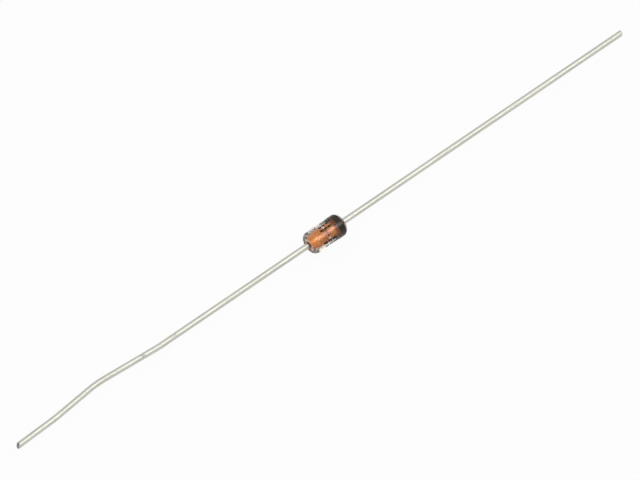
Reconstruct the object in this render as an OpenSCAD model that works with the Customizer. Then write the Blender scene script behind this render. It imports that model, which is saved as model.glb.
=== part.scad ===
// Glass-cased axial zener diode, lying on its side with its leads along X.
// The cathode end, with the black band, points to +X and the anode end to -X.
// The origin is the middle of the glass case, on the lead axis. Units are millimetres.

/* [Glass case] */
// Outside diameter of the glass case
glass_d = 1.85; // [1.5:0.05:2.3]
// Length of the glass case
glass_l = 3.4; // [3:0.1:5]
// Radius of the fire-rounded shoulder at each end of the glass
shoulder_r = 0.42; // [0.1:0.02:0.48]
// Gap all round a lead where the glass has shrunk towards it
mouth_gap = 0.08; // [0.04:0.01:0.12]
// Length of the flared lip outside that narrowest place
lip_l = 0.08; // [0.02:0.01:0.1]
// Width of the flare of the lip
lip_w = 0.07; // [0.02:0.01:0.1]

/* [Cathode band] */
// Width of the ink band along the glass
band_w = 0.6; // [0.3:0.05:1]
// Distance from the cathode end of the glass to the band
band_inset = 0.3; // [0.1:0.05:0.8]
// Thickness of the ink
ink_t = 0.02; // [0.01:0.005:0.05]

/* [Slugs and chip] */
// Diameter of the copper-clad slug that seals each end, and of the bore it fills
slug_d = 0.8; // [0.76:0.02:0.9]
// Depth of each slug's outer face below the end of the glass
slug_depth = 0.2; // [0.14:0.02:0.5]
// Chamfer round both rims of a slug
slug_edge = 0.04; // [0.01:0.01:0.08]
// Side of the square silicon chip
chip_w = 0.46; // [0.3:0.02:0.5]
// Thickness of the chip
chip_t = 0.1; // [0.06:0.01:0.25]
// Diameter of the silver contact bump on the chip's anode face
bump_d = 0.26; // [0.15:0.01:0.3]
// Height of the contact bump
bump_t = 0.03; // [0.02:0.01:0.1]

/* [Leads] */
// Length of the diode from lead tip to lead tip, before the anode lead was bent
overall_l = 62.5; // [58:0.5:80]
// Diameter of the tinned lead wire
lead_d = 0.48; // [0.4:0.02:0.56]
// How far the weld stands out round the wire where a lead joins its slug
weld_w = 0.06; // [0.02:0.01:0.08]
// Length over which the weld narrows to the wire
weld_l = 0.22; // [0.05:0.01:0.3]
// Slant of the cathode lead's sheared tip away from a square cut, in degrees
cathode_cut_deg = 17; // [0:1:40]
// Slant of the anode lead's sheared tip away from a square cut, in degrees
anode_cut_deg = 31; // [0:1:40]
// Turn of both cuts round their wires, in degrees
cut_turn_deg = -57; // [-90:1:90]

/* [Bends of the anode lead] */
// Radius of each bend at the middle of the wire
bend_r = 8; // [4:0.5:12]
// How much thinner the wire is drawn through a bend
bend_thin = 0.006; // [0.004:0.001:0.02]
// Distance along the lead from the glass to the first bend
first_bend_at = 15; // [10:0.1:18]
// Distance along the lead from the first bend to the second
second_bend_after = 4.9; // [3:0.1:6]
// Distance along the lead from the second bend to the third
third_bend_after = 3.6; // [2:0.1:4]
// Turn of the first bend, in degrees
first_turn_deg = 4; // [1:0.1:10]
// Turn of the second bend, back the other way, in degrees
second_turn_deg = 10.2; // [1:0.1:15]
// Turn of the third bend, in degrees
third_turn_deg = 3.7; // [1:0.1:10]

/* [Hidden] */
$fn = 96;

glass_r = glass_d / 2;
slug_r = slug_d / 2;
lead_r = lead_d / 2;
mouth_r = lead_r + mouth_gap;
stack_t = chip_t + bump_t;              // the chip and its bump fill the gap between the slugs
slug_out = glass_l / 2 - slug_depth;    // from the middle of the case to a slug's outer face
slug_l = slug_out - stack_t / 2;
lead_l = overall_l / 2 - slug_out;      // a lead's length from its slug to its tip
band_x = glass_l / 2 - band_inset - band_w;
past = 1;                               // how far a cutting shape runs past what it cuts
bend_lap_deg = 0.4;                     // degrees by which a bend runs on inside the straight wire

glass_colour = [0.92, 0.90, 0.86, 0.4];
ink_colour = [0.10, 0.09, 0.08];
copper_colour = [0.80, 0.42, 0.20];
silicon_colour = [0.27, 0.28, 0.31];
silver_colour = [0.85, 0.85, 0.84];
tin_colour = [0.78, 0.78, 0.74];

function arc_l(turn) = bend_r * turn * PI / 180;

// Turns a shape that stands on Z so that its top points to the cathode or to the anode
module to_cathode() rotate([0, 90, 0]) children();
module to_anode() rotate([0, -90, 0]) children();

// Half the lengthwise section of the glass without its bore, grown by a skin all round
module glass_outline(skin = 0) {
    corner_r = shoulder_r + skin;
    out_r = glass_r + skin;
    half_l = glass_l / 2 + skin;
    translate([0, -half_l]) square([out_r - corner_r, 2 * half_l]);
    translate([0, corner_r - half_l]) square([out_r, 2 * (half_l - corner_r)]);
    for (end = [-1, 1])
        translate([out_r - corner_r, end * (half_l - corner_r)]) circle(corner_r);
}

// Section of the bore: the glass grips the slugs, then narrows towards each lead and ends in a lip
module bore_section() {
    translate([0, -slug_out]) square([slug_r, 2 * slug_out]);
    for (end = [-1, 1])
        scale([1, end])
            polygon([
                [0, 0],
                [slug_r, 0],
                [slug_r, slug_out],
                [mouth_r, glass_l / 2 - lip_l],
                [mouth_r + lip_w, glass_l / 2],
                [mouth_r + lip_w, glass_l / 2 + past],
                [0, glass_l / 2 + past]
            ]);
}

module glass_sleeve() {
    color(glass_colour) to_cathode() rotate_extrude()
        difference() {
            glass_outline();
            bore_section();
        }
}

// The ink lies on the glass and follows it over the shoulder
module cathode_band() {
    color(ink_colour) to_cathode() rotate_extrude()
        intersection() {
            difference() {
                glass_outline(ink_t);
                glass_outline();
            }
            translate([0, band_x]) square([glass_d, band_w]);
        }
}

// A copper-clad plug from the chip's face outwards, with both rims broken
module slug() {
    color(copper_colour) translate([0, 0, stack_t / 2]) rotate_extrude()
        polygon([
            [0, 0], [slug_r - slug_edge, 0], [slug_r, slug_edge],
            [slug_r, slug_l - slug_edge], [slug_r - slug_edge, slug_l], [0, slug_l]
        ]);
}

module cathode_slug() to_cathode() slug();
module anode_slug() to_anode() slug();

// The chip lies against the cathode slug, with its bump towards the anode slug
module silicon_chip() {
    color(silicon_colour) translate([stack_t / 2 - chip_t, -chip_w / 2, -chip_w / 2])
        cube([chip_t, chip_w, chip_w]);
}

module contact_bump() {
    color(silver_colour) to_anode() translate([0, 0, stack_t / 2 - bump_t])
        cylinder(d = bump_d, h = bump_t);
}

// The weld is the wide foot of the lead, seated on the slug's outer face
module weld_foot() cylinder(r1 = lead_r + weld_w, r2 = lead_r, h = weld_l);

// A straight stretch of wire that ends in a slanted cut
module cut_wire(length, cut) {
    difference() {
        cylinder(d = lead_d, h = length + lead_d);
        translate([0, 0, length]) rotate([0, cut, cut_turn_deg])
            translate([-past, -past, 0]) cube([2 * past, 2 * past, past]);
    }
}

// One bend of the wire towards X, or away from it where the turn is negative,
// with its children carried to its far end
module bend(turn) {
    aim = turn < 0 ? 180 : 0;
    rotate([0, 0, aim]) translate([bend_r, 0, 0]) {
        rotate([90, 0, 180]) rotate([0, 0, -bend_lap_deg])
            rotate_extrude(angle = abs(turn) + 2 * bend_lap_deg)
                translate([bend_r, 0]) circle(d = lead_d - bend_thin);
        rotate([0, abs(turn), 0]) translate([-bend_r, 0, 0]) rotate([0, 0, -aim]) children();
    }
}

// Straight legs of wire with a bend after each of them but the last
module bent_wire(legs, turns, cut, i = 0) {
    if (i < len(turns)) {
        cylinder(d = lead_d, h = legs[i]);
        translate([0, 0, legs[i]]) bend(turns[i]) bent_wire(legs, turns, cut, i + 1);
    } else {
        cut_wire(legs[i], cut);
    }
}

module cathode_lead() {
    color(tin_colour) to_cathode() translate([0, 0, slug_out]) {
        weld_foot();
        cut_wire(lead_l, cathode_cut_deg);
    }
}

module anode_lead() {
    turns = [first_turn_deg, -second_turn_deg, third_turn_deg];
    first_leg = slug_depth + first_bend_at;
    bent_l = first_leg + second_bend_after + third_bend_after;
    arcs_l = arc_l(first_turn_deg) + arc_l(second_turn_deg) + arc_l(third_turn_deg);
    legs = [first_leg, second_bend_after, third_bend_after, lead_l - bent_l - arcs_l];
    color(tin_colour) to_anode() translate([0, 0, slug_out]) {
        weld_foot();
        rotate([0, 0, 90]) bent_wire(legs, turns, anode_cut_deg);
    }
}

glass_sleeve();
cathode_band();
cathode_slug();
anode_slug();
silicon_chip();
contact_bump();
cathode_lead();
anode_lead();
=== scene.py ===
"""Dresses a small glass axial diode round its packed CAD frame.

Each piece is modelled in millimetres on the lead axis, then brought to metres in its own mesh.
"""

import math

import bmesh
import bpy
from bpy.props import FloatProperty, FloatVectorProperty, IntProperty, PointerProperty
from mathutils import Matrix, Vector


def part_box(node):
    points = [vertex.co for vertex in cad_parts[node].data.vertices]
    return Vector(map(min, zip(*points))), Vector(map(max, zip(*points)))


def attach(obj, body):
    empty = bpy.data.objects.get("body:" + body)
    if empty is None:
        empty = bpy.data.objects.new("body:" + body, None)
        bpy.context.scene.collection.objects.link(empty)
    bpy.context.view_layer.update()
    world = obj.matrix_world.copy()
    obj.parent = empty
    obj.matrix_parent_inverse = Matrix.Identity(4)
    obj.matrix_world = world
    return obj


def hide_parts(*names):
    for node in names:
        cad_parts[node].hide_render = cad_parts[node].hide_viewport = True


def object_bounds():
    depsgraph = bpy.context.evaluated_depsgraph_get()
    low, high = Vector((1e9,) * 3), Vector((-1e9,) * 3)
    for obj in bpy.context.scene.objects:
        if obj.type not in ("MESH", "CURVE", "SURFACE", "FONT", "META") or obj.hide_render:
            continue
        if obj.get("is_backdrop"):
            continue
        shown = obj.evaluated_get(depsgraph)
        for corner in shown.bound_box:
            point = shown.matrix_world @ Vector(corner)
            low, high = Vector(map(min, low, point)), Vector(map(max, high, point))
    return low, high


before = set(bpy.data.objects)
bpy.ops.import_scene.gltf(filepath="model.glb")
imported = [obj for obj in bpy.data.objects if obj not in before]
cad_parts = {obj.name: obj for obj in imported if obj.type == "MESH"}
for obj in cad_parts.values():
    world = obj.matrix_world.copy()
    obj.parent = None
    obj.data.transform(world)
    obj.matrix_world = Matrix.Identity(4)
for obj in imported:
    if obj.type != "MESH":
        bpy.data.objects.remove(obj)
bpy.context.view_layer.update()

bl_info = {
    "name": "Glass Axial Diode",
    "version": (1, 0, 0),
    "blender": (4, 5, 0),
    "location": "View3D > Sidebar > Diode",
    "description": "Models a glass axial diode with tinned leads round its CAD frame",
    "category": "Add Mesh",
}

MM = 0.001
GLASS_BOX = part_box("glass_sleeve")
SLUG_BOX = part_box("cathode_slug")
CHIP_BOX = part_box("silicon_chip")
BUMP_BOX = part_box("contact_bump")
BAND_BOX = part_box("cathode_band")

# Sides of round pieces
GLASS_SIDES = 160
SLUG_SIDES = 96
WIRE_SIDES = 48

# Steps of rounded edges and curves
SHOULDER_STEPS = 24
LIP_STEPS = 8
RELEASE_STEPS = 4
RIM_STEPS = 3
SAWN_STEPS = 2
CROWN_STEPS = 4
WELD_STEPS = 8
BEND_STEPS = 12
TIP_STEPS = 4

# Measures that only the modelling needs
SAME_MM = 1e-4          # lengths that differ by less are the same
MERGE_MM = 1e-5         # points that lie closer are merged
SEAL_LAP_MM = 0.002     # glass laps its slugs, and ink its glass, so that no air shows between them
HOLD_MM = 0.3           # from the ends of a straight stretch of wire to the rings that hold its shading
FACE_RING = 0.4         # share of a slug's radius from its rim to the ring that keeps its end face flat
SMOOTH_ANGLE = math.radians(35)     # faces that meet at less are shaded as one
ALONG_X = (0, math.pi / 2, 0)       # lays a round primitive, which stands on Z, along the lead axis

# Nearest and farthest place that the camera sees, in metres
CLIP_NEAR = 0.01
CLIP_FAR = 10.0


# Settings

def length(name, description, metres):
    """A size that the sidebar shows in scene units."""
    return FloatProperty(name=name, description=description, default=metres, min=0.0,
                         unit="LENGTH", precision=6)


def lengths(name, description, millimetres):
    """Sizes in a row, which the sidebar shows in scene units."""
    return FloatVectorProperty(name=name, description=description, size=len(millimetres),
                               default=[size * MM for size in millimetres], unit="LENGTH", precision=6)


def angle(name, description, degrees):
    """A turn that the sidebar shows in degrees."""
    return FloatProperty(name=name, description=description, default=math.radians(degrees),
                         subtype="ANGLE", unit="ROTATION")


def angles(name, description, degrees):
    """Turns in a row, which the sidebar shows in degrees."""
    return FloatVectorProperty(name=name, description=description, size=len(degrees),
                               default=[math.radians(turn) for turn in degrees], unit="ROTATION")


def share(name, description, value):
    """A plain number from 0 to 1."""
    return FloatProperty(name=name, description=description, default=value, min=0.0, max=1.0,
                         subtype="FACTOR")


def colour(name, description, rgb):
    """A linear colour."""
    return FloatVectorProperty(name=name, description=description, default=rgb, size=3,
                               min=0.0, max=1.0, subtype="COLOR")


class DiodeGlass(bpy.types.PropertyGroup):
    """Sizes and finish of the glass case"""

    length: length("Length", "Length of the glass case", GLASS_BOX[1].x - GLASS_BOX[0].x)
    diameter: length("Diameter", "Outside diameter of the glass", GLASS_BOX[1].z - GLASS_BOX[0].z)
    shoulder: length("Shoulder", "Radius of the fire-rounded shoulders", 0.42 * MM)
    mouth: length("Mouth", "Radius of the opening round a lead", 0.32 * MM)
    lip: length("Lip", "Rounding of the lip of that opening", 0.09 * MM)
    release: length("Release", "Rounding where the glass leaves the slug", 0.05 * MM)
    tint: colour("Tint", "Colour of the glass", (0.99, 0.895, 0.80))
    haze: share("Haze", "Roughness of the fire-rounded ends", 0.3)
    haze_start: length("Haze start", "From the middle of the case to where the haze sets in", 1.15 * MM)
    haze_end: length("Haze end", "From the middle of the case to where the haze is full", 1.4 * MM)
    ior: FloatProperty(name="IOR", description="Refraction of the sealing glass", default=1.5,
                       min=1.0, max=2.0)


class DiodeSlug(bpy.types.PropertyGroup):
    """Sizes and colours of the copper-clad slugs"""

    diameter: length("Diameter", "Diameter of a slug", SLUG_BOX[1].z - SLUG_BOX[0].z)
    inner: length("Inner face", "From the middle of the case to a slug's inner face", SLUG_BOX[0].x)
    outer: length("Outer face", "From the middle of the case to a slug's outer face", SLUG_BOX[1].x)
    edge: length("Edge", "Width of the broken rims", 0.04 * MM)
    bright: colour("Bright copper", "Freshly fired cladding", (0.98, 0.46, 0.13))
    body: colour("Oxide", "Orange bloom of the cladding", (0.95, 0.33, 0.065))
    dark: colour("Dark oxide", "Deeper patches of the bloom", (0.84, 0.26, 0.05))


class DiodeChip(bpy.types.PropertyGroup):
    """Edges and colours of the chip and its contact bump"""

    edge: length("Sawn edge", "Width of the bevel round the chip", 0.012 * MM)
    crown: length("Bump crown", "Rounding of the contact bump's rim", 0.02 * MM)
    silicon: colour("Silicon", "Polished silicon", (0.34, 0.345, 0.36))
    silver: colour("Silver", "Plated contact bump", (0.80, 0.79, 0.76))


class DiodeLeads(bpy.types.PropertyGroup):
    """Sizes, bends and colours of the tinned leads"""

    diameter: length("Wire", "Diameter of the wire", 0.48 * MM)
    weld_width: length("Weld width", "How far the weld stands out round the wire", 0.06 * MM)
    weld_length: length("Weld length", "Length over which the weld narrows", 0.22 * MM)
    reach: length("Reach", "From the middle of the case to a straight lead's tip", 31.25 * MM)
    cathode_cut: angle("Cathode cut", "Slant of the cathode lead's sheared tip", 17)
    cathode_lean: angle("Cathode lean", "Side to which that tip is shorter, from +Y upwards", 213)
    anode_cut: angle("Anode cut", "Slant of the anode lead's sheared tip", 31)
    anode_lean: angle("Anode lean", "Side to which that tip is shorter, from -Y upwards", 123)
    burr: length("Burr", "Rounding of the sheared edge", 0.045 * MM)
    bend: length("Bend radius", "Radius of each bend of the anode lead", 8 * MM)
    first_leg: length("First leg", "Straight wire from the slug to the first bend", 15.2 * MM)
    second_leg: length("Second leg", "Straight wire from the first bend to the second", 4.9 * MM)
    third_leg: length("Third leg", "Straight wire from the second bend to the third", 3.6 * MM)
    first_turn: angle("First turn", "Turn of the first bend", 4.0)
    second_turn: angle("Second turn", "Turn of the second bend, back the other way", 10.2)
    third_turn: angle("Third turn", "Turn of the third bend", 3.7)
    first_nick: length("First nick", "From the slug to the first nick that pliers left", 13.8 * MM)
    first_nick_side: angle("First nick side", "Side of the wire with that nick, from -Y upwards", 148)
    second_nick: length("Second nick", "From the first bend to the second nick", 1.25 * MM)
    second_nick_side: angle("Second nick side", "Side of the wire with that nick, from -Y upwards", 58)
    nick_depth: length("Nick depth", "Depth of a nick", 0.03 * MM)
    nick_half: length("Nick half", "Half the width of a nick", 0.05 * MM)
    tin: colour("Tin", "Bright tin plating", (0.70, 0.695, 0.63))
    dull: colour("Dull tin", "Duller streaks of the plating", (0.56, 0.555, 0.495))
    core: colour("Sheared core", "Bare metal of the sheared tips", (0.38, 0.375, 0.365))
    # The weld's dark brown is partly heat scale and partly painted shade for the recess of the glass
    # mouth around the weld.
    scale: colour("Weld scale", "Brown heat scale on the weld", (0.26, 0.14, 0.07))
    scale_shade_end: length("Weld scale end", "From the middle of the case to where the scale fades", 1.8 * MM)
    scale_shade_fade: length("Weld scale fade", "Length over which the scale gives way to tin", 0.05 * MM)


class DiodeInk(bpy.types.PropertyGroup):
    """Sizes and colours of the ink on the glass"""

    start: length("Band start", "From the middle of the case to the band", BAND_BOX[0].x)
    end: length("Band end", "From the middle of the case to the band's outer edge", BAND_BOX[1].x)
    thickness: length("Thickness", "Thickness of the ink", 0.02 * MM)
    fade: length("Fade", "Width of the band's thin inner edge", 0.15 * MM)
    black: colour("Black", "Baked black ink", (0.012, 0.008, 0.005))
    worn: colour("Worn", "Browner places in the ink", (0.05, 0.026, 0.012))
    thin: colour("Thin", "Copper that shines through the band's thin edge", (0.22, 0.09, 0.038))


class DiodeMarks(bpy.types.PropertyGroup):
    """Sizes and places of the printed dashes, a value for each row"""

    rows: angles("Rows", "Places of the rows round the glass, from +Y upwards", (81, 100.5, 164, 189))
    starts: lengths("Starts", "From the middle of the case to a row's first dash",
                    (-0.54, -0.64, -0.84, -0.72))
    longs: lengths("Lengths", "Length of a row's dashes", (0.28, 0.345, 0.35, 0.33))
    gaps: lengths("Gaps", "Gap between a row's dashes", (0.06, 0.045, 0.07, 0.07))
    widths: lengths("Widths", "Width of a row's dashes round the glass", (0.11, 0.16, 0.24, 0.15))
    corner: length("Corner", "Leg of the cut that takes each corner off a dash", 0.035 * MM)
    dashes: IntProperty(name="Dashes", description="Dashes in each row", default=3, min=1, max=8)


class DiodeStage(bpy.types.PropertyGroup):
    """Camera, floor and light"""

    azimuth: angle("Azimuth", "Camera's turn round the diode", -41.44)
    elevation: angle("Elevation", "Camera's angle above the floor", 50.28)
    distance: length("Distance", "Camera's distance from the diode", 0.6)
    view: length("View", "Width of the picture at the diode", 49.53 * MM)
    aim_right: FloatProperty(name="Aim right", description="Middle of the picture, right of the case",
                             default=-0.38 * MM, unit="LENGTH")
    aim_up: FloatProperty(name="Aim up", description="Middle of the picture, above the case",
                          default=-0.46 * MM, unit="LENGTH")
    floor: colour("Floor", "Pale floor", (0.62, 0.62, 0.62))
    floor_size: length("Floor size", "Side of the square floor", 2.0)
    seen_white: share("Seen white", "Share of plain white in the floor that the camera sees", 0.95)
    mirrored_white: share("Mirrored white", "Share of plain white in the floor that metal mirrors", 0.6)
    refracted_white: share("Refracted white", "Share of plain white in the floor seen through glass",
                           0.1)
    horizon: colour("Horizon", "Dome at the horizon", (0.60, 0.60, 0.59))
    zenith: colour("Zenith", "Dome overhead", (0.84, 0.84, 0.84))
    lamp_place: FloatVectorProperty(name="Softbox place", description="Middle of the softbox",
                                    default=(0.20, -0.229, 0.517), subtype="TRANSLATION", unit="LENGTH")
    lamp_length: length("Softbox length", "Long side of the softbox", 0.46)
    lamp_width: length("Softbox width", "Short side of the softbox", 0.22)
    lamp_power: FloatProperty(name="Softbox power", description="Power of the softbox", default=0.93,
                              min=0.0, unit="POWER")


# Modelling

def mm(metres):
    """Metres to the millimetres that pieces are modelled in."""
    return metres / MM


def near(a, b):
    """Whether two lengths in millimetres are the same but for rounding."""
    return abs(a - b) < SAME_MM


def open_up(piece, name, scale):
    """Names a piece, puts its size and place into its mesh, and opens it for editing."""
    piece.name = piece.data.name = name
    piece.scale = scale
    bpy.ops.object.transform_apply(location=True, rotation=True, scale=True)
    bpy.ops.object.mode_set(mode="EDIT")
    return piece


def begin(add, name, scale=(1, 1, 1), **settings):
    """Adds a primitive by itself at its size and place, open for editing."""
    bpy.ops.object.select_all(action="DESELECT")
    add(**settings)
    return open_up(bpy.context.object, name, scale)


def copy_of(piece, name):
    """A copy of a finished piece with its own mesh, back in millimetres and open for editing."""
    bpy.ops.object.select_all(action="DESELECT")
    piece.select_set(True)
    bpy.context.view_layer.objects.active = piece
    bpy.ops.object.duplicate(linked=False)
    copy = bpy.context.object
    copy.parent = None
    copy.matrix_world = Matrix.Identity(4)
    return open_up(copy, name, (1 / MM,) * 3)


def pick(piece, test, kind="VERT"):
    """Selects the vertices, edges or faces whose middle passes a test."""
    bpy.ops.mesh.select_mode(type=kind)
    bpy.ops.mesh.select_all(action="DESELECT")
    mesh = bmesh.from_edit_mesh(piece.data)
    if kind == "VERT":
        chosen = [v for v in mesh.verts if test(v.co)]
    elif kind == "EDGE":
        chosen = [e for e in mesh.edges if test((e.verts[0].co + e.verts[1].co) / 2)]
    else:
        chosen = [f for f in mesh.faces if test(f.calc_center_median())]
    if not chosen:
        raise RuntimeError(f"{piece.name}: nothing to select")
    for part in chosen:
        part.select_set(True)
    mesh.select_flush_mode()
    bmesh.update_edit_mesh(piece.data)


def close_up():
    """Merges doubled points and turns every face outwards."""
    bpy.ops.mesh.select_all(action="SELECT")
    bpy.ops.mesh.remove_doubles(threshold=MERGE_MM)
    bpy.ops.mesh.normals_make_consistent(inside=False)


def spin_section():
    """Spins the outline of a section once round the lead axis and closes its seam."""
    bpy.ops.mesh.select_all(action="SELECT")
    bpy.ops.mesh.delete(type="ONLY_FACE")
    bpy.ops.mesh.select_all(action="SELECT")
    bpy.ops.mesh.spin(steps=GLASS_SIDES, angle=math.tau, center=(0, 0, 0), axis=(1, 0, 0))
    close_up()


def settle(piece, materials, slot, *nodes, turn=0.0):
    """Leaves edit mode, brings the piece to metres and hands it to the frame.

    A second material goes to the faces that are selected.
    """
    piece.data.materials.clear()
    for material in materials:
        piece.data.materials.append(material)
    if len(materials) > 1:
        piece.active_material_index = 1
        bpy.ops.object.material_slot_assign()
    bpy.ops.mesh.select_mode(type="VERT")
    bpy.ops.object.mode_set(mode="OBJECT")
    piece.rotation_euler.z = turn
    piece.scale = (MM,) * 3
    bpy.ops.object.transform_apply(location=True, rotation=True, scale=True)
    bpy.ops.object.shade_smooth_by_angle(angle=SMOOTH_ANGLE)
    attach(piece, "root")
    if nodes:
        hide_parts(*nodes)


# Materials

def opaque(rgb):
    """A colour with the fourth value that nodes ask for."""
    return (*rgb, 1)


def dimmed(rgb, part):
    """A colour brought down to a part of its brightness."""
    return [part * value for value in rgb]


def fill(node, values):
    """Sets constants on a node's sockets, named with an underscore for each space."""
    for name, value in values.items():
        node.inputs[name.replace("_", " ")].default_value = value


class Nodes:
    """A node tree that starts empty."""

    def __init__(self, tree):
        self.tree = tree
        tree.nodes.clear()

    def add(self, kind, **values):
        """A node with constants on its sockets."""
        node = self.tree.nodes.new(kind)
        fill(node, values)
        return node

    def link(self, source, socket):
        """Joins an output to an input."""
        self.tree.links.new(source, socket)

    def put(self, value, socket):
        """Joins an output to an input, or sets a constant there."""
        if isinstance(value, bpy.types.NodeSocket):
            self.link(value, socket)
        else:
            socket.default_value = value

    def calc(self, operation, *terms):
        """The result of an operation on outputs and numbers."""
        node = self.add("ShaderNodeMath")
        node.operation = operation
        for term, socket in zip(terms, node.inputs):
            self.put(term, socket)
        return node.outputs["Value"]

    def mix(self, factor, first, second):
        """A colour between two colours."""
        node = self.add("ShaderNodeMix")
        node.data_type = "RGBA"
        self.link(factor, node.inputs["Factor"])
        sockets = [socket for socket in node.inputs if socket.type == "RGBA"]
        for tone, socket in zip((first, second), sockets):
            self.put(tone, socket)
        return next(socket for socket in node.outputs if socket.type == "RGBA")


class Shader(Nodes):
    """A material with one Principled surface, whose patterns lie on Object coordinates."""

    def __init__(self, name):
        self.material = bpy.data.materials.new(name)
        self.material.use_nodes = True
        super().__init__(self.material.node_tree)
        self.surface = self.add("ShaderNodeBsdfPrincipled")
        output = self.add("ShaderNodeOutputMaterial")
        self.link(self.surface.outputs["BSDF"], output.inputs["Surface"])
        self.place = self.add("ShaderNodeTexCoord").outputs["Object"]

    def set(self, **values):
        """Sets constants straight on the surface's sockets."""
        fill(self.surface, values)

    def feed(self, **sources):
        """Joins patterns to the surface's sockets."""
        for name, source in sources.items():
            self.link(source, self.surface.inputs[name.replace("_", " ")])

    def grain(self, stretch, detail=4.0, roughness=0.55, distortion=0.0):
        """Noise with so many features to a millimetre along X, Y and Z."""
        scaled = self.add("ShaderNodeMapping", Scale=tuple(count / MM for count in stretch))
        self.link(self.place, scaled.inputs["Vector"])
        noise = self.add("ShaderNodeTexNoise", Scale=1.0, Detail=detail, Roughness=roughness,
                         Distortion=distortion)
        self.link(scaled.outputs["Vector"], noise.inputs["Vector"])
        return noise.outputs["Fac"]

    def axis(self):
        """Distance along the lead axis, from the middle of the case towards the cathode."""
        split = self.add("ShaderNodeSeparateXYZ")
        self.link(self.place, split.inputs["Vector"])
        return split.outputs["X"]

    def from_middle(self):
        """Distance along the lead axis, from the middle of the case towards either end."""
        return self.calc("ABSOLUTE", self.axis())

    def ramp(self, factor, *stops):
        """Colours at places along a factor."""
        node = self.add("ShaderNodeValToRGB")
        self.link(factor, node.inputs["Fac"])
        ramp = node.color_ramp
        while len(ramp.elements) < len(stops):
            ramp.elements.new(1.0)
        for element, (place, tone) in zip(ramp.elements, stops):
            element.position = place
            element.color = opaque(tone)
        return node.outputs["Color"]

    def remap(self, factor, source, target):
        """A factor's stretch between two values, mapped to two others."""
        node = self.add("ShaderNodeMapRange", From_Min=source[0], From_Max=source[1],
                        To_Min=target[0], To_Max=target[1])
        self.link(factor, node.inputs["Value"])
        return node.outputs["Result"]

    def bump(self, height, depth_mm, strength=0.5):
        """Gives the surface relief of a given depth."""
        node = self.add("ShaderNodeBump", Strength=strength, Distance=depth_mm * MM)
        self.link(height, node.inputs["Height"])
        self.feed(Normal=node.outputs["Normal"])


def sealing_glass(glass):
    """Clear soft glass with faint draw lines and a smear or two, hazy where the flame rounded it."""
    shader = Shader("sealing_glass")
    shader.set(Base_Color=opaque(glass.tint), Transmission_Weight=1.0, IOR=glass.ior)
    smear = shader.remap(shader.grain((0.8, 2.5, 2.5), detail=5), (0.45, 0.8), (0.0, 0.05))
    haze = shader.remap(shader.from_middle(), (glass.haze_start, glass.haze_end), (0.0, glass.haze))
    shader.feed(Roughness=shader.calc("ADD", smear, haze))
    shader.bump(shader.grain((0.6, 4, 4), detail=2), depth_mm=0.004)
    return shader.material


def fired_copper(slug):
    """Copper cladding with an orange oxide bloom, drawn along its length."""
    shader = Shader("fired_copper")
    shader.set(Metallic=0.35)
    bloom = shader.grain((1.6, 3.2, 3.2), detail=3, distortion=0.6)
    lines = shader.grain((2, 26, 26))
    shader.feed(
        Base_Color=shader.ramp(bloom, (0.28, slug.dark), (0.48, slug.body), (0.72, slug.bright)),
        Roughness=shader.remap(lines, (0.3, 0.7), (0.26, 0.4)),
    )
    shader.bump(lines, depth_mm=0.003)
    return shader.material


def polished_silicon(chip):
    """Dark silicon with fine saw marks."""
    shader = Shader("polished_silicon")
    shader.set(Metallic=0.8)
    marks = shader.grain((60, 4, 60), detail=3)
    shader.feed(
        Base_Color=shader.ramp(marks, (0.3, dimmed(chip.silicon, 0.7)), (0.7, chip.silicon)),
        Roughness=shader.remap(marks, (0.3, 0.7), (0.12, 0.3)),
    )
    shader.bump(marks, depth_mm=0.002)
    return shader.material


def plated_silver(chip):
    """Plated silver with a fine grain."""
    shader = Shader("plated_silver")
    shader.set(Metallic=1.0)
    grain = shader.grain((40, 40, 40), detail=3)
    shader.feed(
        Base_Color=shader.ramp(grain, (0.3, dimmed(chip.silver, 0.8)), (0.7, chip.silver)),
        Roughness=shader.remap(grain, (0.3, 0.7), (0.25, 0.45)),
    )
    shader.bump(grain, depth_mm=0.003)
    return shader.material


def tinned_wire(leads):
    """Bright tin over drawn wire, with long streaks, small dull specks and, at its weld, brown heat
    scale deepened as painted shade.
    """
    shader = Shader("tinned_wire")
    shader.set(Metallic=1.0)
    streaks = shader.grain((0.35, 14, 14), detail=5, roughness=0.6)
    plate = shader.ramp(streaks, (0.3, leads.dull), (0.55, leads.tin))
    # Brown where the weld sits in the glass mouth: heat scale, deepened as painted shade of that recess,
    # giving way to tin further out.
    ragged = shader.calc("MULTIPLY", shader.grain((9, 9, 9), detail=3), leads.scale_shade_fade)
    reach = shader.calc("ADD", shader.from_middle(), ragged)
    bright = shader.remap(reach, (leads.scale_shade_end, leads.scale_shade_end + leads.scale_shade_fade), (0.0, 1.0))
    specks = shader.grain((3, 8, 8))
    shader.feed(
        Base_Color=shader.mix(bright, opaque(leads.scale), plate),
        Roughness=shader.remap(specks, (0.3, 0.75), (0.42, 0.56)),
    )
    shader.bump(streaks, depth_mm=0.004)
    return shader.material


def sheared_core(leads):
    """Bare wire at a sheared tip, torn across in fine ridges."""
    shader = Shader("sheared_core")
    shader.set(Metallic=1.0)
    ridges = shader.grain((6, 30, 6))
    shader.feed(
        Base_Color=shader.ramp(ridges, (0.3, dimmed(leads.core, 0.6)), (0.65, leads.core)),
        Roughness=shader.remap(ridges, (0.3, 0.7), (0.35, 0.55)),
    )
    shader.bump(ridges, depth_mm=0.01, strength=0.7)
    return shader.material


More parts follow.
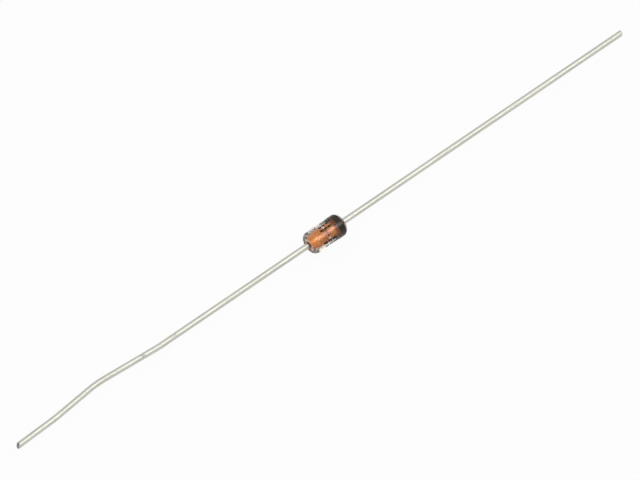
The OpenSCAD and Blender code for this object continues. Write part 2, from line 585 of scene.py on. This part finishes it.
def baked_ink(ink, name, thin_edge=False):
    """Glossy black ink, browner in places, with or without the band's thin inner edge."""
    shader = Shader(name)
    shader.set(Specular_IOR_Level=0.35)
    cover = shader.grain((5, 5, 5), detail=6)
    tone = shader.ramp(cover, (0.42, ink.black), (0.75, ink.worn))
    if thin_edge:
        ragged = shader.calc("MULTIPLY", shader.grain((7, 7, 7), detail=3), ink.fade / 2)
        reach = shader.calc("ADD", shader.axis(), ragged)
        full = shader.remap(reach, (ink.start, ink.start + ink.fade), (0.0, 1.0))
        tone = shader.mix(full, opaque(ink.thin), tone)
    shader.feed(Base_Color=tone, Roughness=shader.remap(cover, (0.3, 0.75), (0.1, 0.24)))
    shader.bump(shader.grain((14, 14, 14), detail=3), depth_mm=0.002)
    return shader.material


# Glass, slugs and chip

class DIODE_OT_glass_sleeve(bpy.types.Operator):
    """Make the glass case from a section of its wall, spun round the lead axis"""

    bl_idname = "diode.glass_sleeve"
    bl_label = "Glass Sleeve"

    def execute(self, context):
        glass = context.scene.diode_glass
        slug = context.scene.diode_slug
        half = mm(glass.length) / 2
        third = half / 3
        outside = mm(glass.diameter) / 2
        bore = mm(slug.diameter) / 2 - SEAL_LAP_MM
        grip = mm(slug.outer)
        piece = begin(bpy.ops.mesh.primitive_plane_add, "sealed_glass", size=1,
                      scale=(2 * half, outside - bore, 1), location=(0, 0, (outside + bore) / 2),
                      rotation=(math.pi / 2, 0, 0))
        pick(piece, lambda p: near(p.z, bore), "EDGE")
        bpy.ops.mesh.subdivide(number_cuts=2)
        pick(piece, lambda p: near(p.z, bore) and near(abs(p.x), third))
        bpy.ops.transform.resize(value=(grip / third, 1, 1), center_override=(0, 0, 0))
        pick(piece, lambda p: near(p.z, bore) and near(abs(p.x), half))
        bpy.ops.transform.translate(value=(0, 0, mm(glass.mouth) - bore))
        bpy.ops.mesh.bevel(offset=mm(glass.lip), segments=LIP_STEPS, affect="VERTICES")
        pick(piece, lambda p: near(p.z, bore) and near(abs(p.x), grip))
        bpy.ops.mesh.bevel(offset=mm(glass.release), segments=RELEASE_STEPS, affect="VERTICES")
        pick(piece, lambda p: near(p.z, outside))
        bpy.ops.mesh.bevel(offset=mm(glass.shoulder), segments=SHOULDER_STEPS, affect="VERTICES")
        spin_section()
        settle(piece, [sealing_glass(glass)], "glass", "glass_sleeve")
        return {"FINISHED"}


class DIODE_OT_slugs(bpy.types.Operator):
    """Turn a copper-clad slug with broken rims, and copy it to the anode end"""

    bl_idname = "diode.slugs"
    bl_label = "Slugs"

    def execute(self, context):
        slug = context.scene.diode_slug
        radius = mm(slug.diameter) / 2
        inner, outer = mm(slug.inner), mm(slug.outer)
        piece = begin(bpy.ops.mesh.primitive_cylinder_add, "cathode_plug", vertices=SLUG_SIDES,
                      radius=radius, depth=outer - inner, end_fill_type="NGON",
                      location=((outer + inner) / 2, 0, 0), rotation=ALONG_X)

        def on_end(p):
            """Whether a place lies on one of the end faces."""
            return near(p.x, inner) or near(p.x, outer)

        pick(piece, on_end, "EDGE")
        bpy.ops.mesh.bevel(offset=mm(slug.edge), segments=RIM_STEPS, affect="EDGES")
        pick(piece, on_end, "FACE")
        bpy.ops.mesh.inset(thickness=radius * FACE_RING)
        close_up()
        copper = fired_copper(slug)
        settle(piece, [copper], "copper", "cathode_slug")
        other = copy_of(piece, "anode_plug")
        settle(other, [copper], "copper", "anode_slug", turn=math.pi)
        return {"FINISHED"}


class DIODE_OT_chip(bpy.types.Operator):
    """Saw the silicon chip and plate its contact bump"""

    bl_idname = "diode.chip"
    bl_label = "Chip"

    def execute(self, context):
        chip = context.scene.diode_chip
        low, high = (corner / MM for corner in CHIP_BOX)
        piece = begin(bpy.ops.mesh.primitive_cube_add, "sawn_chip", size=1, scale=high - low,
                      location=(low + high) / 2)
        bpy.ops.mesh.select_all(action="SELECT")
        bpy.ops.mesh.bevel(offset=mm(chip.edge), segments=SAWN_STEPS, affect="EDGES")
        close_up()
        settle(piece, [polished_silicon(chip)], "silicon", "silicon_chip")
        low, high = (corner / MM for corner in BUMP_BOX)
        bump = begin(bpy.ops.mesh.primitive_cylinder_add, "plated_bump", vertices=WIRE_SIDES,
                     radius=(high.z - low.z) / 2, depth=high.x - low.x,
                     location=(low + high) / 2, rotation=ALONG_X)
        pick(bump, lambda p: near(p.x, low.x), "EDGE")
        bpy.ops.mesh.bevel(offset=mm(chip.crown), segments=CROWN_STEPS, affect="EDGES")
        close_up()
        settle(bump, [plated_silver(chip)], "silver", "contact_bump")
        return {"FINISHED"}


# Leads

class Wire:
    """A wire that is drawn outwards along X from its weld, with its open end selected."""

    def __init__(self, name, root, leads):
        self.leads = leads
        self.root = root
        self.radius = mm(leads.diameter) / 2
        self.at = Vector((root, 0, 0))
        self.ahead = Vector((1, 0, 0))
        self.drawn = mm(leads.weld_length)  # how much of the present leg is there already
        foot = self.radius + mm(leads.weld_width)
        self.piece = begin(bpy.ops.mesh.primitive_circle_add, name, vertices=WIRE_SIDES, radius=foot,
                           fill_type="NOTHING", location=self.at, rotation=ALONG_X)
        self.weld(foot)

    def side(self, turn):
        """The way out from the wire at a turn from its left side upwards."""
        left = Vector((-self.ahead.y, self.ahead.x, 0))
        return left * math.cos(turn) + Vector((0, 0, 1)) * math.sin(turn)

    def go(self, distance, to_size=1.0, beside=(0, 0, 0)):
        """Carries the open end on, and sizes it about its middle or a place beside that."""
        step = self.ahead * distance
        self.at = self.at + step
        bpy.ops.mesh.extrude_region_move(TRANSFORM_OT_translate={"value": step})
        if to_size != 1.0:
            bpy.ops.transform.resize(value=(to_size,) * 3, center_override=self.at + Vector(beside))

    def run_on(self, distance):
        """Carries the open end straight on, with a ring near each end to hold the shading."""
        self.go(HOLD_MM)
        self.go(distance - 2 * HOLD_MM)
        self.go(HOLD_MM)

    def weld(self, foot):
        """Narrows the foot to the wire in a hollow curve."""
        width = foot
        for step in range(1, WELD_STEPS + 1):
            next_width = self.radius + (foot - self.radius) * (1 - step / WELD_STEPS) ** 2
            self.go(mm(self.leads.weld_length) / WELD_STEPS, next_width / width)
            width = next_width

    def nick(self, turn):
        """Dents the wire on one side, as the edge of pliers does."""
        half_width = mm(self.leads.nick_half)
        dent = 1 - mm(self.leads.nick_depth) / (2 * self.radius)
        far_side = self.side(turn) * -self.radius
        self.go(half_width, dent, far_side)
        self.go(half_width, 1 / dent, far_side)

    def leg(self, distance, nick=None):
        """Draws what is left of a straight leg, with or without a nick at a place and side."""
        if nick:
            place, turn = nick
            half_width = mm(self.leads.nick_half)
            self.run_on(place - half_width - self.drawn)
            self.nick(turn)
            self.drawn = place + half_width
        self.run_on(distance - self.drawn)
        self.drawn = 0

    def bend(self, turn):
        """Bends the wire in the level plane, to its left where the turn is positive."""
        inwards = self.side(0) * math.copysign(mm(self.leads.bend), turn)
        centre = self.at + inwards
        bpy.ops.mesh.spin(steps=BEND_STEPS, angle=-turn, center=centre, axis=(0, 0, 1))
        rotation = Matrix.Rotation(turn, 3, "Z")
        self.at = centre - rotation @ inwards
        self.ahead = rotation @ self.ahead

    def shear(self, cut, lean):
        """Cuts the open end at a slant, rounds the edge of the cut and leaves its face selected."""
        tip = self.at
        slant = self.ahead * math.cos(cut) + self.side(lean) * math.sin(cut)
        burr = mm(self.leads.burr)
        rim = tip - slant * burr

        def on_rim(p):
            """Whether a place lies in the plane where the rounding of the edge starts."""
            return near((p - rim).dot(slant), 0)

        def on_tip(p):
            """Whether a place lies on the face of the cut."""
            return near((p - tip).dot(slant), 0) and (p - tip).length < self.radius

        self.go(2 * self.radius)    # enough wire for the slant to cut through
        bpy.ops.mesh.select_all(action="SELECT")
        bpy.ops.mesh.bisect(plane_co=rim, plane_no=slant, clear_outer=True)
        for on_end in (lambda p: near(p.x, self.root), on_rim):
            pick(self.piece, on_end)
            bpy.ops.mesh.edge_face_add()
        close_up()
        pick(self.piece, on_rim, "FACE")
        arc = 0.0
        for step in range(1, TIP_STEPS + 1):
            last, arc = arc, step / TIP_STEPS * math.pi / 2
            bpy.ops.mesh.inset(thickness=burr * (math.cos(last) - math.cos(arc)),
                               depth=burr * (math.sin(arc) - math.sin(last)))
        pick(self.piece, on_tip, "FACE")


class DIODE_OT_leads(bpy.types.Operator):
    """Draw both tinned leads out from their welds, the anode lead with its slight bends"""

    bl_idname = "diode.leads"
    bl_label = "Leads"

    def execute(self, context):
        leads = context.scene.diode_leads
        root = mm(context.scene.diode_slug.outer)
        whole = mm(leads.reach) - root
        metals = [tinned_wire(leads), sheared_core(leads)]
        straight = Wire("cathode_wire", root, leads)
        straight.leg(whole)
        straight.shear(leads.cathode_cut, leads.cathode_lean)
        settle(straight.piece, metals, "tin", "cathode_lead")

        legs = [mm(leads.first_leg), mm(leads.second_leg), mm(leads.third_leg)]
        turns = [-leads.first_turn, leads.second_turn, -leads.third_turn]
        nicks = [
            (mm(leads.first_nick), leads.first_nick_side),
            (mm(leads.second_nick), leads.second_nick_side),
            None,
        ]
        bent = sum(legs) + mm(leads.bend) * sum(abs(turn) for turn in turns)
        crooked = Wire("anode_wire", root, leads)
        for leg, nick, turn in zip(legs, nicks, turns):
            crooked.leg(leg, nick)
            crooked.bend(turn)
        crooked.leg(whole - bent)
        crooked.shear(leads.anode_cut, leads.anode_lean)
        settle(crooked.piece, metals, "tin", "anode_lead", turn=math.pi)
        return {"FINISHED"}


# Ink

def ink_skin(context, name, planes):
    """Ink on the glass: a copy of its outer skin, cut back by planes and thickened outwards."""
    scene = context.scene
    skin = copy_of(bpy.data.objects["sealed_glass"], name)
    for place, outwards in planes:
        bpy.ops.mesh.select_all(action="SELECT")
        bpy.ops.mesh.bisect(plane_co=place, plane_no=outwards, clear_outer=True)
    mid_wall = mm(scene.diode_glass.diameter + scene.diode_slug.diameter) / 4
    pick(skin, lambda p: math.hypot(p.y, p.z) < mid_wall, "FACE")
    bpy.ops.mesh.delete(type="FACE")
    close_up()
    bpy.ops.object.mode_set(mode="OBJECT")
    thick = skin.modifiers.new("ink", "SOLIDIFY")
    thick.thickness = mm(scene.diode_ink.thickness) + SEAL_LAP_MM
    thick.offset = 1 - 2 * SEAL_LAP_MM / thick.thickness
    bpy.ops.object.modifier_apply(modifier=thick.name)
    bpy.ops.object.mode_set(mode="EDIT")
    return skin


class DIODE_OT_cathode_band(bpy.types.Operator):
    """Roll the black cathode band on the glass"""

    bl_idname = "diode.cathode_band"
    bl_label = "Cathode Band"

    def execute(self, context):
        ink = context.scene.diode_ink
        band = ink_skin(context, "ink_band", [
            ((mm(ink.start), 0, 0), (-1, 0, 0)),
            ((mm(ink.end), 0, 0), (1, 0, 0)),
        ])
        settle(band, [baked_ink(ink, "band_ink", thin_edge=True)], "ink", "cathode_band")
        return {"FINISHED"}


def dash_planes(middle, out, half_long, half_wide, corner):
    """The planes round a dash with its corners cut off, each as a place and the way out."""
    along = Vector((1, 0, 0))
    across = along.cross(out)
    planes = [(Vector((0, 0, 0)), -out)]
    for side in (-1, 1):
        planes.append((middle + along * side * half_long, along * side))
        planes.append((middle + across * side * half_wide, across * side))
        for slope in (-1, 1):
            place = middle + along * side * half_long + across * slope * (half_wide - corner)
            planes.append((place, along * side + across * slope))
    return planes


class DIODE_OT_marks(bpy.types.Operator):
    """Print the rows of plain dashes beside the band"""

    bl_idname = "diode.marks"
    bl_label = "Marks"

    def execute(self, context):
        marks = context.scene.diode_marks
        radius = mm(context.scene.diode_glass.diameter) / 2
        ink = baked_ink(context.scene.diode_ink, "print_ink")
        rows = zip(marks.rows, marks.starts, marks.longs, marks.gaps, marks.widths)
        for row, (turn, start, long, gap, wide) in enumerate(rows, 1):
            out = Vector((0, math.cos(turn), math.sin(turn)))
            for number in range(marks.dashes):
                along = mm(start + number * (long + gap) + long / 2)
                middle = Vector((along, 0, 0)) + out * radius
                planes = dash_planes(middle, out, mm(long) / 2, mm(wide) / 2, mm(marks.corner))
                dash = ink_skin(context, f"ink_dash_{row}_{number + 1}", planes)
                settle(dash, [ink], "ink")
        return {"FINISHED"}


# Stage

def lay_floor(stage):
    """A pale floor just under the diode, white to the eye and still taking its shadow."""
    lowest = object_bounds()[0].z
    bpy.ops.object.select_all(action="DESELECT")
    bpy.ops.mesh.primitive_plane_add(size=stage.floor_size, location=(0, 0, lowest))
    floor = bpy.context.object
    floor.name = floor.data.name = "floor"
    bpy.ops.object.transform_apply(location=True)
    material = bpy.data.materials.new("pale_floor")
    material.use_nodes = True
    nodes = Nodes(material.node_tree)
    paint = nodes.add("ShaderNodeBsdfDiffuse", Color=opaque(stage.floor))
    white = nodes.add("ShaderNodeEmission", Strength=1.0)
    path = nodes.add("ShaderNodeLightPath").outputs
    through = path["Is Transmission Ray"]
    mirrored = nodes.calc("SUBTRACT", path["Is Glossy Ray"], through)
    seen = nodes.calc("MULTIPLY", path["Is Camera Ray"], stage.seen_white)
    for ray, amount in ((mirrored, stage.mirrored_white), (through, stage.refracted_white)):
        seen = nodes.calc("MAXIMUM", seen, nodes.calc("MULTIPLY", ray, amount))
    blend = nodes.add("ShaderNodeMixShader")
    nodes.link(seen, blend.inputs["Fac"])
    nodes.link(paint.outputs["BSDF"], blend.inputs[1])
    nodes.link(white.outputs["Emission"], blend.inputs[2])
    nodes.link(blend.outputs["Shader"], nodes.add("ShaderNodeOutputMaterial").inputs["Surface"])
    floor.data.materials.append(material)
    floor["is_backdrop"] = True


def light_world(scene, stage):
    """A soft dome, greyer towards the horizon and white behind the floor's edge."""
    world = bpy.data.worlds.new("studio")
    scene.world = world
    world.use_nodes = True
    nodes = Nodes(world.node_tree)
    split = nodes.add("ShaderNodeSeparateXYZ")
    nodes.link(nodes.add("ShaderNodeTexCoord").outputs["Generated"], split.inputs["Vector"])
    dome = nodes.mix(split.outputs["Z"], opaque(stage.horizon), opaque(stage.zenith))
    path = nodes.add("ShaderNodeLightPath").outputs
    sky = nodes.add("ShaderNodeBackground")
    nodes.link(nodes.mix(path["Is Camera Ray"], dome, (1, 1, 1, 1)), sky.inputs["Color"])
    nodes.link(sky.outputs["Background"], nodes.add("ShaderNodeOutputWorld").inputs["Surface"])


def hang(scene, data, place, facing):
    """Puts a lamp or a camera at a place, facing a way."""
    holder = bpy.data.objects.new(data.name, data)
    scene.collection.objects.link(holder)
    holder.location = place
    holder.rotation_euler = facing.to_track_quat("-Z", "Y").to_euler()
    return holder


def hang_softbox(scene, stage):
    """A softbox that faces the diode."""
    lamp = bpy.data.lights.new("softbox", "AREA")
    lamp.shape = "RECTANGLE"
    lamp.size = stage.lamp_width
    lamp.size_y = stage.lamp_length
    lamp.energy = stage.lamp_power
    place = Vector(stage.lamp_place)
    hang(scene, lamp, place, -place)


def set_camera(scene, stage):
    """A long lens at the picture's angle, a little off the middle of the case."""
    turn, rise = stage.azimuth, stage.elevation
    back = Vector((math.sin(turn) * math.cos(rise), -math.cos(turn) * math.cos(rise), math.sin(rise)))
    right = Vector((math.cos(turn), math.sin(turn), 0))
    aim = right * stage.aim_right + back.cross(right) * stage.aim_up
    camera = bpy.data.cameras.new("camera")
    camera.lens = camera.sensor_width * stage.distance / stage.view
    camera.clip_start = CLIP_NEAR
    camera.clip_end = CLIP_FAR
    camera.dof.use_dof = False
    scene.camera = hang(scene, camera, aim + back * stage.distance, -back)


class DIODE_OT_stage(bpy.types.Operator):
    """Lay the floor, hang the light and set the camera"""

    bl_idname = "diode.stage"
    bl_label = "Stage"

    def execute(self, context):
        scene = context.scene
        stage = scene.diode_stage
        lay_floor(stage)
        light_world(scene, stage)
        hang_softbox(scene, stage)
        set_camera(scene, stage)
        scene.view_settings.view_transform = "Standard"
        return {"FINISHED"}


# Sidebar

class DIODE_PT_pieces(bpy.types.Panel):
    """Lists the diode's pieces and settings"""

    bl_idname = "DIODE_PT_pieces"
    bl_label = "Glass Diode"
    bl_space_type = "VIEW_3D"
    bl_region_type = "UI"
    bl_category = "Diode"

    def draw(self, context):
        for operator in OPERATORS:
            self.layout.operator(operator.bl_idname)
        for name, group in SETTINGS.items():
            column = self.layout.column()
            column.label(text=group.__doc__)
            for setting in group.__annotations__:
                column.prop(getattr(context.scene, name), setting)


SETTINGS = {
    "diode_glass": DiodeGlass,
    "diode_slug": DiodeSlug,
    "diode_chip": DiodeChip,
    "diode_leads": DiodeLeads,
    "diode_ink": DiodeInk,
    "diode_marks": DiodeMarks,
    "diode_stage": DiodeStage,
}
OPERATORS = (
    DIODE_OT_glass_sleeve,
    DIODE_OT_slugs,
    DIODE_OT_chip,
    DIODE_OT_leads,
    DIODE_OT_cathode_band,
    DIODE_OT_marks,
    DIODE_OT_stage,
)


def register():
    """Registers the classes and gives every scene the settings."""
    for name, group in SETTINGS.items():
        bpy.utils.register_class(group)
        setattr(bpy.types.Scene, name, PointerProperty(type=group))
    for made in (*OPERATORS, DIODE_PT_pieces):
        bpy.utils.register_class(made)


def unregister():
    """Takes the classes and the settings away again."""
    for made in reversed((*OPERATORS, DIODE_PT_pieces)):
        bpy.utils.unregister_class(made)
    for name, group in reversed(SETTINGS.items()):
        delattr(bpy.types.Scene, name)
        bpy.utils.unregister_class(group)


def main():
    register()
    bpy.ops.diode.glass_sleeve()
    bpy.ops.diode.slugs()
    bpy.ops.diode.chip()
    bpy.ops.diode.leads()
    bpy.ops.diode.cathode_band()
    bpy.ops.diode.marks()
    bpy.ops.diode.stage()


if __name__ == "__main__":
    main()
